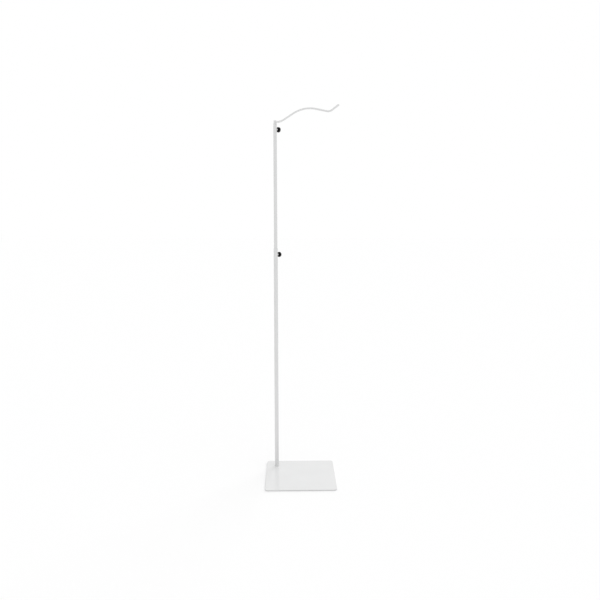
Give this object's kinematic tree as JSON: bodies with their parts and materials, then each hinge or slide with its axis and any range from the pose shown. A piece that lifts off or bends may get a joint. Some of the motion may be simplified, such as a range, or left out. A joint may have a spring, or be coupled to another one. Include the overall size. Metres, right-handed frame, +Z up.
{
  "type": "garment display stand",
  "caption": "Free-standing telescopic display stand with a square steel base plate, an off-centre pole, thumb-screw clamps and a wavy hanging arm with an upturned end.",
  "frame": {"origin": "on the floor under the middle of the square base plate", "axes": "+Z up along the pole, +X to the right and +Y to the back of the stand, along the plate's edges; the pole stands at the back left and the arm points to the front right corner"},
  "size_m": [0.32, 0.32, 1.6583],
  "materials": {
    "white_powder_coat": "semi-gloss powder coat",
    "black_plastic": "satin moulded",
    "natural_nylon": "satin",
    "zinc_steel": "zinc plated",
    "rubber_pad": "matt"
  },
  "bodies": {
    "base": {"base_plate": "white_powder_coat", "front_left_pad": "rubber_pad", "front_right_pad": "rubber_pad", "back_left_pad": "rubber_pad", "back_right_pad": "rubber_pad", "pole_bolt": "zinc_steel", "foot_insert": "zinc_steel", "lower_tube": "white_powder_coat", "lower_boss": "white_powder_coat"},
    "glide": {"mast_glide": "black_plastic"},
    "upper_mast": {"upper_tube": "white_powder_coat", "upper_boss": "white_powder_coat"},
    "head": {"head_post": "white_powder_coat", "wave_arm": "white_powder_coat"},
    "lower_screw_tip": {"lower_knob_tip": "natural_nylon"},
    "lower_thumb_screw": {"lower_knob_stud": "zinc_steel", "lower_knob_grip": "black_plastic"},
    "upper_screw_tip": {"upper_knob_tip": "natural_nylon"},
    "upper_thumb_screw": {"upper_knob_stud": "zinc_steel", "upper_knob_grip": "black_plastic"}
  },
  "joints": [
    {"name": "height_slide", "type": "slide", "parent": "base", "child": "glide", "axis": [0, 0, 1], "range_m": [-0.5275, 0.3]},
    {"name": "mast_turn", "type": "hinge", "parent": "glide", "child": "upper_mast", "pos_m": [-0.1125, 0.1025, 0.611], "axis": [0, 0, 1], "continuous": true},
    {"name": "head_turn", "type": "hinge", "parent": "upper_mast", "child": "head", "pos_m": [-0.1125, 0.1025, 1.611], "axis": [0, 0, 1], "continuous": true},
    {"name": "lower_knob_travel", "type": "slide", "parent": "base", "child": "lower_screw_tip", "axis": [0.7071, 0.7071, 0], "range_m": [0, 0.0024]},
    {"name": "lower_knob_turn", "type": "hinge", "parent": "lower_screw_tip", "child": "lower_thumb_screw", "pos_m": [-0.1125, 0.1025, 1.026], "axis": [0.7071, 0.7071, 0], "range_deg": [0, 1080]},
    {"name": "upper_knob_travel", "type": "slide", "parent": "upper_mast", "child": "upper_screw_tip", "axis": [0.7071, 0.7071, 0], "range_m": [0, 0.0024]},
    {"name": "upper_knob_turn", "type": "hinge", "parent": "upper_screw_tip", "child": "upper_thumb_screw", "pos_m": [-0.1125, 0.1025, 1.5865], "axis": [0.7071, 0.7071, 0], "range_deg": [0, 1080]}
  ],
  "couplings": [
    {"joint": "lower_knob_turn", "follows": "lower_knob_travel", "rad_per_m": 7853.9},
    {"joint": "upper_knob_turn", "follows": "upper_knob_travel", "rad_per_m": 7853.9}
  ]
}
